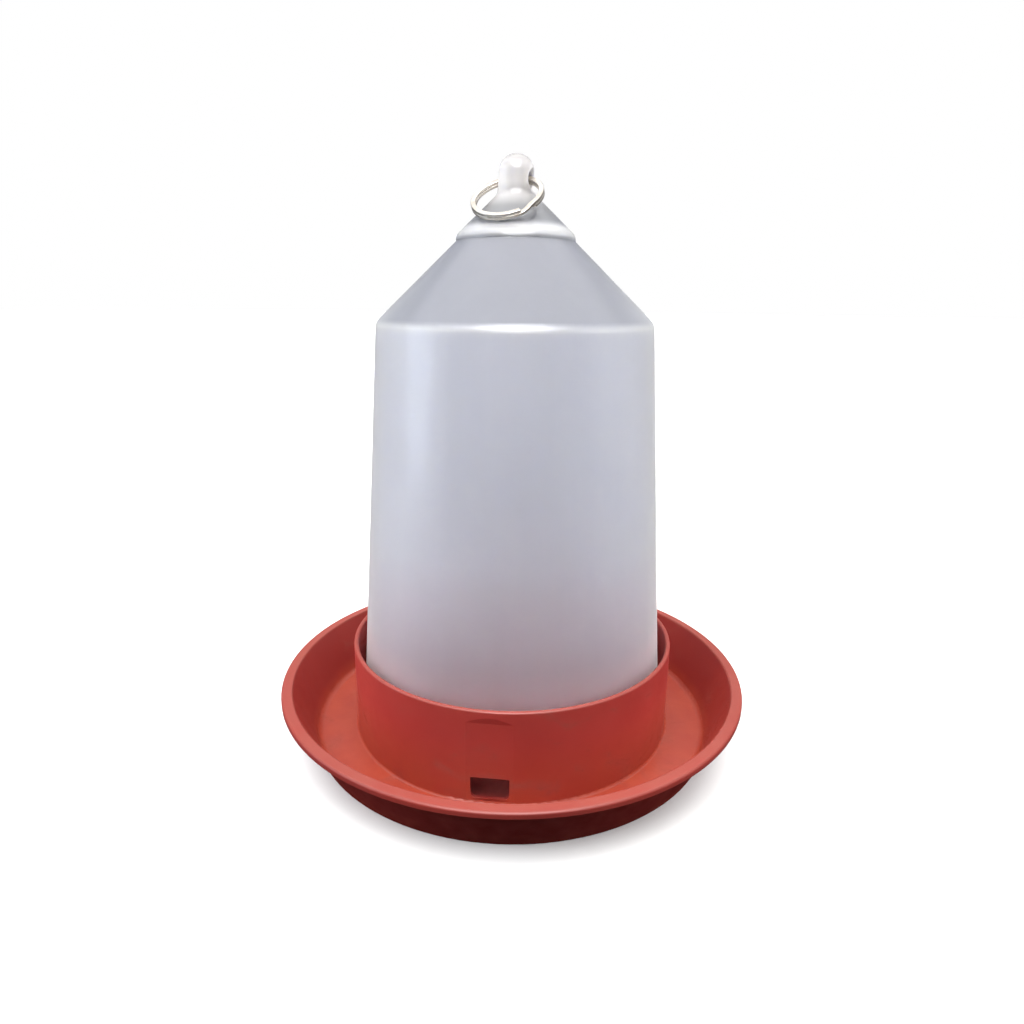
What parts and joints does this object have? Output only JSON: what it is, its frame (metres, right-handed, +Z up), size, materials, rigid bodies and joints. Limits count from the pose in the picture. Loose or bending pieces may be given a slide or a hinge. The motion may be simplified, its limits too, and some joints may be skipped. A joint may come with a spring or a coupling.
{
  "type": "poultry waterer fount",
  "caption": "Gravity-fed poultry drinker: a translucent cone-topped jar stands mouth down in a red trough with a windowed collar, and hangs by a split ring through its knob.",
  "frame": {"origin": "centre of the tray's underside, on the plane it stands on", "axes": "+Z up along the jar's axis, X along the hole through the knob, -Y the side the split ring falls towards"},
  "size_m": [0.234, 0.234, 0.2738],
  "materials": {
    "red_plastic": "injection-moulded polypropylene, semi-gloss",
    "translucent_plastic": "natural polypropylene, milky, satin",
    "nickel_steel": "nickel-plated spring steel, bright"
  },
  "bodies": {
    "tray": {"drinking_trough": "red_plastic", "jar_collar": "red_plastic"},
    "jar": {"reservoir_jar": "translucent_plastic"},
    "ring": {"split_ring": "nickel_steel"}
  },
  "joints": [
    {"name": "jar_lift", "type": "slide", "parent": "tray", "child": "jar", "axis": [0, 0, 1], "range_m": [0, 0.08]},
    {"name": "ring_swing", "type": "hinge", "parent": "jar", "child": "ring", "pos_m": [0, 0, 0.263], "axis": [-1, 0, 0], "range_deg": [0, 252]}
  ]
}
